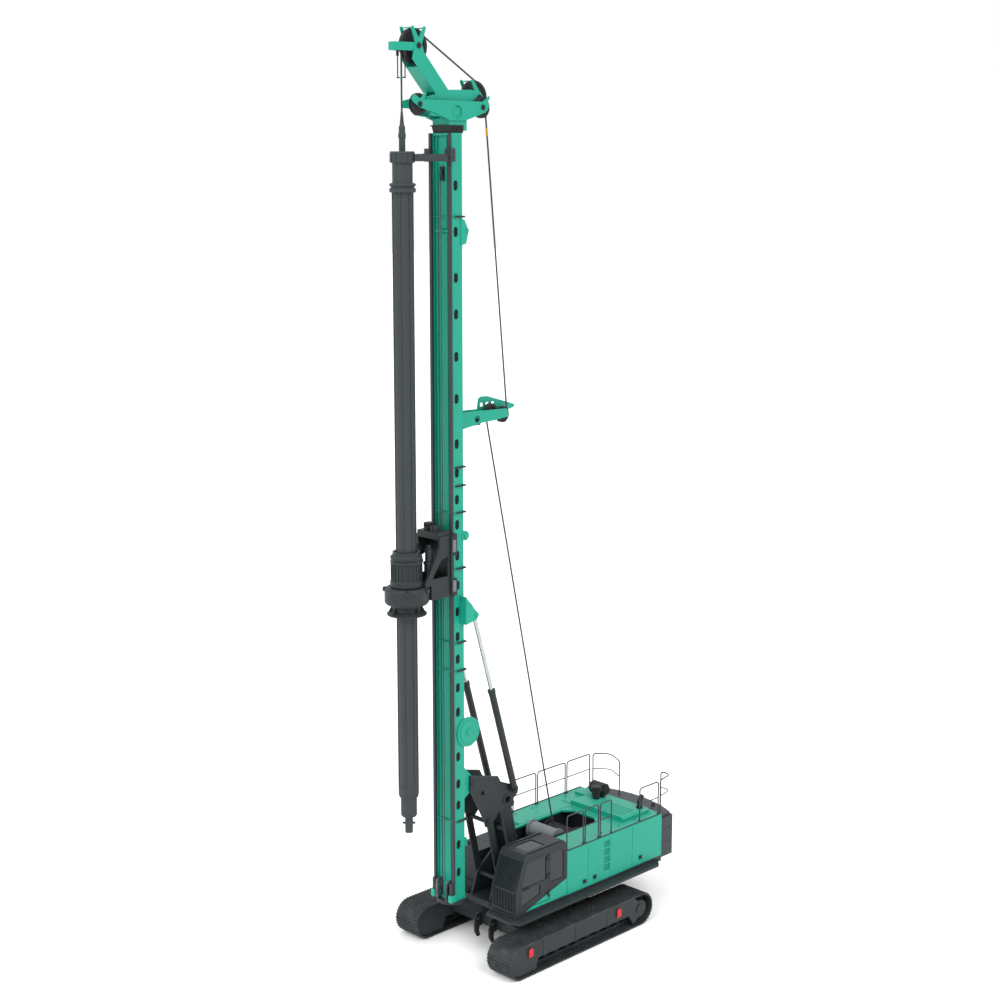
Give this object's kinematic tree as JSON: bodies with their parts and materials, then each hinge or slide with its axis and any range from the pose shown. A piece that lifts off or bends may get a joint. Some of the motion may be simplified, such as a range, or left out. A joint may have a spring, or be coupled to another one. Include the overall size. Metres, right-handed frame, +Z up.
{
  "type": "rotary piling rig",
  "caption": "Rotary piling rig on tracks with a teal mast, Kelly bar, rotary drive, boom linkage, cab and winches.",
  "frame": {"origin": "on the ground under the middle of the whole machine, a little behind the slew axis", "axes": "+X forward to the Kelly bar, +Y to the cab side (left), +Z up"},
  "size_m": [10.01, 4.6, 24.9314],
  "materials": {
    "teal_paint": "semi-gloss",
    "grey_paint": "satin",
    "black_paint": "satin",
    "track_steel": "matte",
    "rail_steel": "satin",
    "chrome_rod": "polished",
    "cab_glass_pane": "tinted",
    "seat_cover": "matte"
  },
  "bodies": {
    "undercarriage": {"car_body": "grey_paint", "track_frame_left": "grey_paint", "track_frame_right": "grey_paint", "track_left": "track_steel", "track_right": "track_steel", "track_rollers": "black_paint", "track_idlers": "black_paint", "track_sprockets": "black_paint", "slew_ring": "grey_paint"},
    "upper": {"upper_frame": "grey_paint", "counterweight": "grey_paint", "engine_block": "black_paint", "engine_hood": "teal_paint", "housing_left": "teal_paint", "housing_right": "teal_paint", "tank_box": "grey_paint", "cab_shell": "grey_paint", "cab_glass": "cab_glass_pane", "cab_guard": "black_paint", "operator_seat": "seat_cover", "winch_frame": "grey_paint", "handrails": "rail_steel", "exhaust_and_filter": "black_paint"},
    "door": {"cab_door": "grey_paint", "door_glass": "cab_glass_pane"},
    "main_drum": {"main_winch_drum": "black_paint"},
    "aux_drum": {"aux_winch_drum": "black_paint"},
    "boom": {"boom_arm": "grey_paint"},
    "links": {"front_links": "grey_paint"},
    "boom_barrel": {"boom_cylinder_barrel": "grey_paint"},
    "boom_rod": {"boom_cylinder_rod": "chrome_rod"},
    "cradle": {"mast_cradle": "grey_paint"},
    "mast_barrels": {"mast_cylinder_barrel": "grey_paint"},
    "mast_rods": {"mast_cylinder_rod": "chrome_rod"},
    "mast": {"mast_column": "teal_paint", "mast_rails": "grey_paint", "crowd_winch": "teal_paint", "head_seat": "black_paint", "mast_head": "teal_paint", "rope_bracket": "teal_paint"},
    "sledge": {"carriage": "grey_paint", "rotary_drive": "grey_paint"},
    "sleeve": {"drive_sleeve": "grey_paint"},
    "guide": {"kelly_guide": "grey_paint"},
    "kelly": {"kelly_outer": "grey_paint"},
    "inner_bar": {"kelly_inner": "grey_paint"},
    "head_sheave_wheel": {"head_sheave": "black_paint"},
    "rear_sheave_wheel": {"rear_sheave": "black_paint"},
    "aux_front_sheave_wheel": {"aux_front_sheave": "black_paint"},
    "aux_rear_sheave_wheel": {"aux_rear_sheave": "black_paint"},
    "guide_sheave_upper_wheel": {"guide_sheave_upper": "black_paint"},
    "guide_sheave_lower_wheel": {"guide_sheave_lower": "black_paint"}
  },
  "joints": [
    {"name": "slew", "type": "hinge", "parent": "undercarriage", "child": "upper", "pos_m": [-0.025, 0, 1.3], "axis": [0, 0, 1], "continuous": true},
    {"name": "cab_door_hinge", "type": "hinge", "parent": "upper", "child": "door", "pos_m": [0.729, 1.646, 2.28], "axis": [0, 0, 1], "range_deg": [0, 150]},
    {"name": "main_winch_spin", "type": "hinge", "parent": "upper", "child": "main_drum", "pos_m": [-1.585, 0, 2.33], "axis": [0, 1, 0], "continuous": true},
    {"name": "aux_winch_spin", "type": "hinge", "parent": "upper", "child": "aux_drum", "pos_m": [-0.845, 0, 2.64], "axis": [0, 1, 0], "continuous": true},
    {"name": "boom_luff", "type": "hinge", "parent": "upper", "child": "boom", "pos_m": [0.715, 0, 2.48], "axis": [0, 1, 0], "range_deg": [-12, 12]},
    {"name": "link_luff", "type": "hinge", "parent": "upper", "child": "links", "pos_m": [1.425, 0, 2], "axis": [0, 1, 0], "range_deg": [-12, 12]},
    {"name": "boom_cylinder_pivot", "type": "hinge", "parent": "upper", "child": "boom_barrel", "pos_m": [0.305, 0, 1.78], "axis": [0, 1, 0], "range_deg": [-8.17, 8.17]},
    {"name": "boom_cylinder_stroke", "type": "slide", "parent": "boom_barrel", "child": "boom_rod", "axis": [0.1893, 0, 0.9819], "range_m": [-0.0604, 0.0604]},
    {"name": "cradle_level", "type": "hinge", "parent": "boom", "child": "cradle", "pos_m": [1.115, 0, 4.28], "axis": [0, 1, 0], "range_deg": [-12, 12]},
    {"name": "mast_tilt", "type": "hinge", "parent": "cradle", "child": "mast", "pos_m": [2.395, 0, 5.06], "axis": [0, 1, 0], "range_deg": [-15, 5]},
    {"name": "mast_cylinder_pivot", "type": "hinge", "parent": "cradle", "child": "mast_barrels", "pos_m": [0.935, 0, 4.56], "axis": [0, 1, 0], "range_deg": [-13, 4.47]},
    {"name": "mast_cylinder_stroke", "type": "slide", "parent": "mast_barrels", "child": "mast_rods", "axis": [0.2829, 0, 0.9592], "range_m": [-0.3488, 0.1189]},
    {"name": "head_sheave_spin", "type": "hinge", "parent": "mast", "child": "head_sheave_wheel", "pos_m": [4.036, 0, 24.47], "axis": [0, 1, 0], "continuous": true},
    {"name": "rear_sheave_spin", "type": "hinge", "parent": "mast", "child": "rear_sheave_wheel", "pos_m": [1.965, 0, 23.28], "axis": [0, 1, 0], "continuous": true},
    {"name": "aux_front_sheave_spin", "type": "hinge", "parent": "mast", "child": "aux_front_sheave_wheel", "pos_m": [4.125, 0.265, 23.06], "axis": [0, 1, 0], "continuous": true},
    {"name": "aux_rear_sheave_spin", "type": "hinge", "parent": "mast", "child": "aux_rear_sheave_wheel", "pos_m": [1.955, 0.265, 23.03], "axis": [0, 1, 0], "continuous": true},
    {"name": "guide_sheave_upper_spin", "type": "hinge", "parent": "mast", "child": "guide_sheave_upper_wheel", "pos_m": [1.375, 0, 15.14], "axis": [0, 1, 0], "continuous": true},
    {"name": "guide_sheave_lower_spin", "type": "hinge", "parent": "mast", "child": "guide_sheave_lower_wheel", "pos_m": [0.925, 0, 15.02], "axis": [0, 1, 0], "continuous": true},
    {"name": "crowd", "type": "slide", "parent": "mast", "child": "sledge", "axis": [0, 0, 1], "range_m": [-5, 4]},
    {"name": "sleeve_spin", "type": "hinge", "parent": "sledge", "child": "sleeve", "pos_m": [4.425, 0, 10.86], "axis": [0, 0, 1], "continuous": true},
    {"name": "kelly_hoist", "type": "slide", "parent": "mast", "child": "guide", "axis": [0, 0, 1], "range_m": [-4, 0.3]},
    {"name": "kelly_spin", "type": "hinge", "parent": "guide", "child": "kelly", "pos_m": [4.425, 0, 21.7], "axis": [0, 0, 1], "continuous": true},
    {"name": "kelly_extend", "type": "slide", "parent": "kelly", "child": "inner_bar", "axis": [0, 0, -1], "range_m": [0, 3.9]}
  ],
  "couplings": [
    {"joint": "link_luff", "follows": "boom_luff", "ratio": 1},
    {"joint": "boom_cylinder_pivot", "follows": "boom_luff", "ratio": 0.6638},
    {"joint": "boom_cylinder_stroke", "follows": "boom_luff", "m_per_rad": 0.2694},
    {"joint": "cradle_level", "follows": "boom_luff", "ratio": -1},
    {"joint": "mast_cylinder_pivot", "follows": "mast_tilt", "ratio": 0.8535},
    {"joint": "mast_cylinder_stroke", "follows": "mast_tilt", "m_per_rad": 1.3171},
    {"joint": "sleeve_spin", "follows": "kelly_spin", "ratio": 1}
  ]
}
